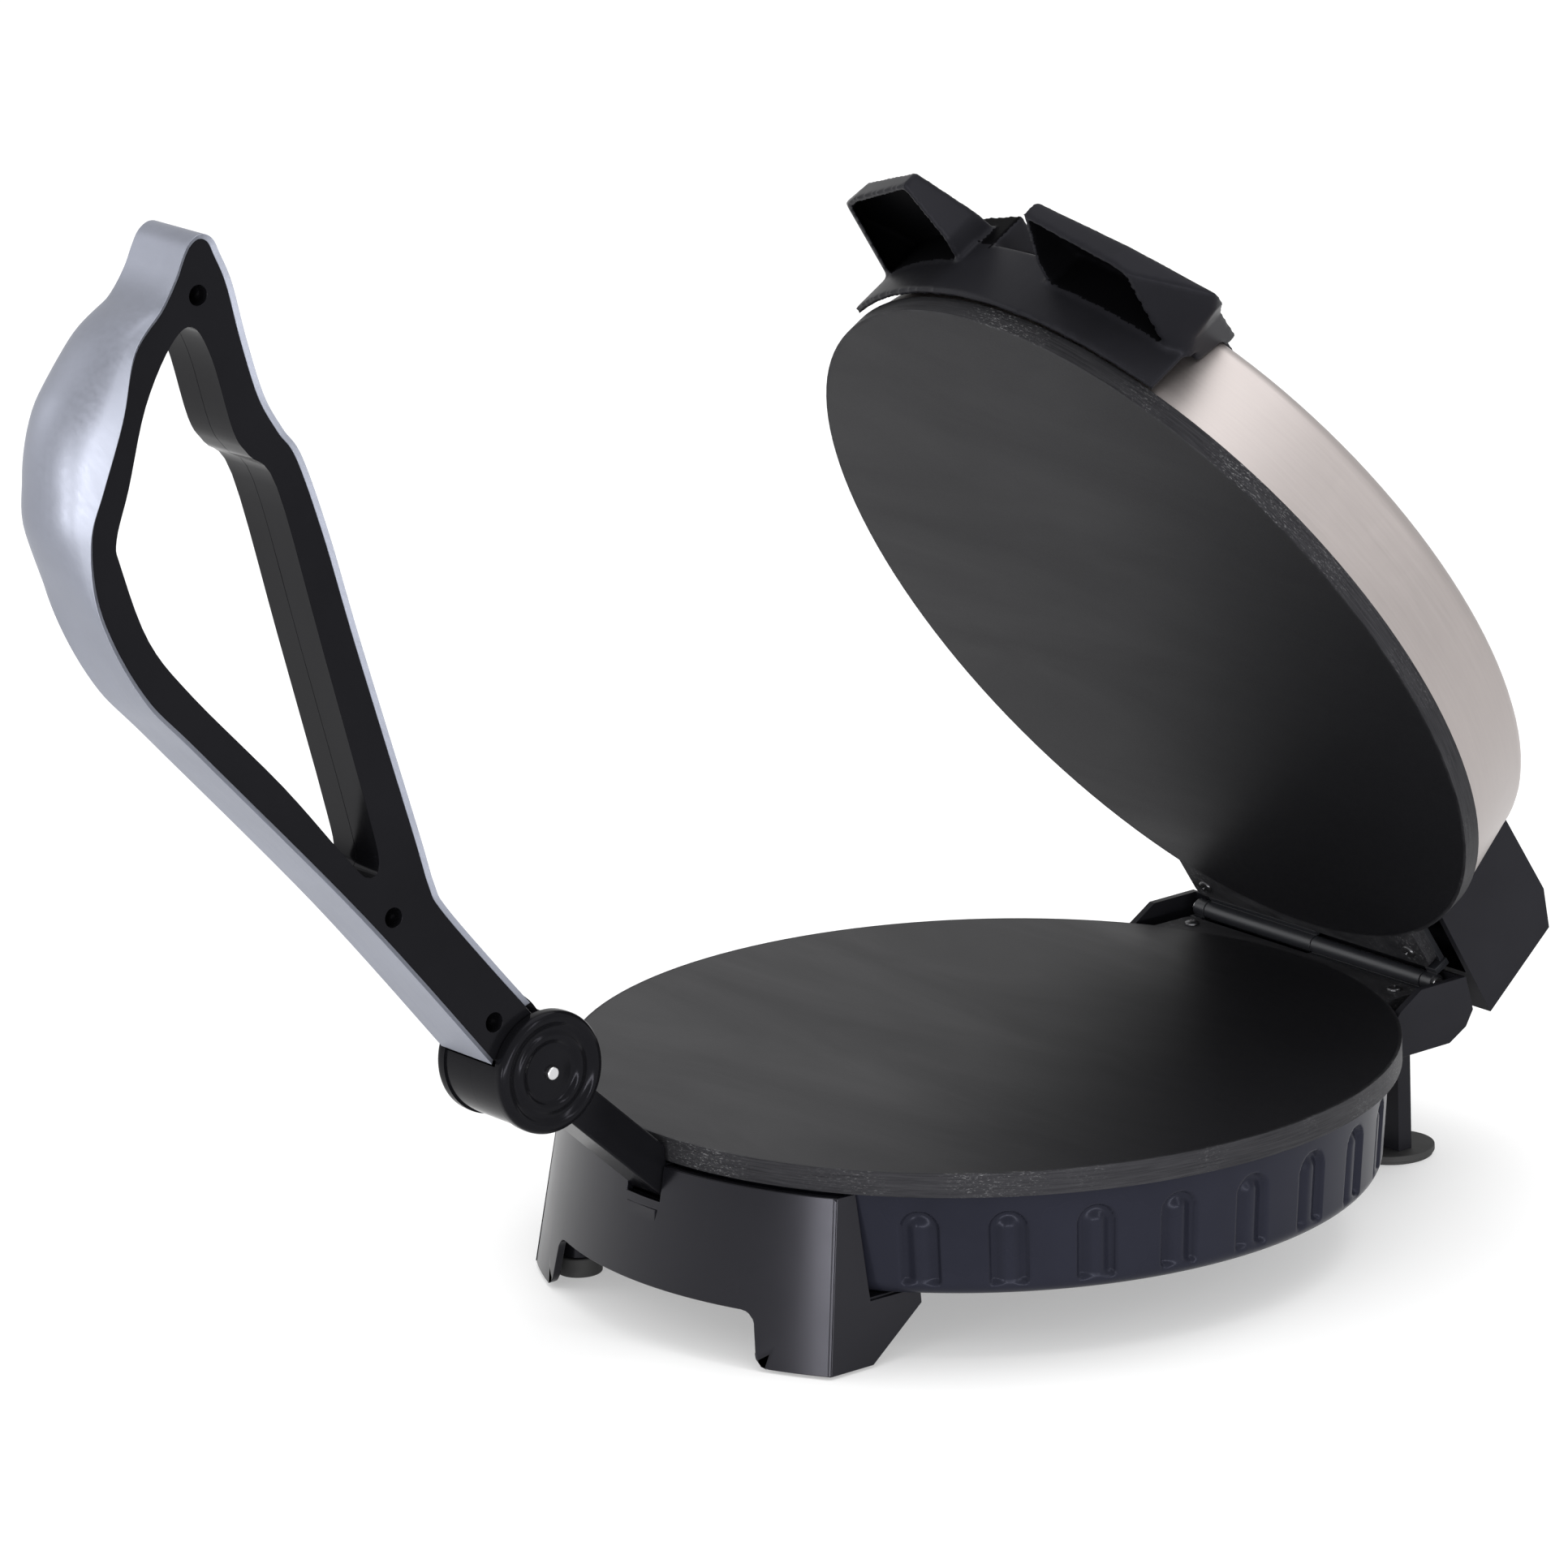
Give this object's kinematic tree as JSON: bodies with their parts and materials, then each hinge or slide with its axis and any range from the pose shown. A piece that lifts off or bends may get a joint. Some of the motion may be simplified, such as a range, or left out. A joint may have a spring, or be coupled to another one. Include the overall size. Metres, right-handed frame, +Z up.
{
  "type": "electric roti maker",
  "caption": "Countertop flatbread press: a hinged round lid over a round hot plate on a low black base, with a looped press handle on a barrel knuckle in front.",
  "frame": {"origin": "middle of the whole object's box in X and Y, on the table under the feet", "axes": "+X to the right as seen from the front, +Y from the press handle towards the hinge, +Z up"},
  "size_m": [0.254, 0.506, 0.3643],
  "materials": {
    "cooking_plate": "satin non-stick coating",
    "stainless": "brushed",
    "black_enamel": "semi-gloss enamel",
    "black_plastic": "semi-matt",
    "blackened_steel": "painted dark",
    "steel": "zinc plated",
    "element_steel": "oxidised",
    "reflector": "bright sheet",
    "brass": "plain",
    "ceramic": "matt",
    "rubber": "matt",
    "wire": "matt sleeve over copper"
  },
  "bodies": {
    "base": {"lower_plate": "cooking_plate", "lower_element": "element_steel", "lower_reflector": "reflector", "thermostat": "brass", "thermal_fuse": "ceramic", "base_pan": "black_enamel", "base_screws": "steel", "terminal_block": "ceramic", "base_wires": "wire", "cord_gland": "rubber", "front_stand": "black_plastic", "stand_screws": "steel", "front_feet": "rubber", "rear_housing": "black_plastic", "housing_screws": "steel", "rear_feet": "rubber", "hinge_lower": "blackened_steel", "hinge_screws_lower": "steel", "hinge_pin": "steel", "handle_strut": "blackened_steel", "strut_screws": "steel", "knuckle_left": "black_plastic", "knuckle_right": "black_plastic", "knuckle_axle": "steel"},
    "lid": {"upper_plate": "cooking_plate", "hinge_upper": "blackened_steel", "hinge_screws_upper": "steel", "upper_element": "element_steel", "upper_reflector": "reflector", "lid_cover": "stainless", "lid_spacers": "steel", "lid_screws": "steel", "lid_wires": "wire", "lid_front_bracket": "black_plastic", "lid_rear_bracket": "black_plastic"},
    "handle": {"handle_left": "black_plastic", "handle_right": "black_plastic", "handle_strip": "stainless", "handle_screws": "steel"}
  },
  "joints": [
    {"name": "lid_hinge", "type": "hinge", "parent": "base", "child": "lid", "pos_m": [0, 0.21376, 0.063], "axis": [1, 0, 0], "range_deg": [0, 58.9]},
    {"name": "handle_pivot", "type": "hinge", "parent": "base", "child": "handle", "pos_m": [0, -0.09474, 0.0942], "axis": [1, 0, 0], "range_deg": [-55, 0]}
  ]
}
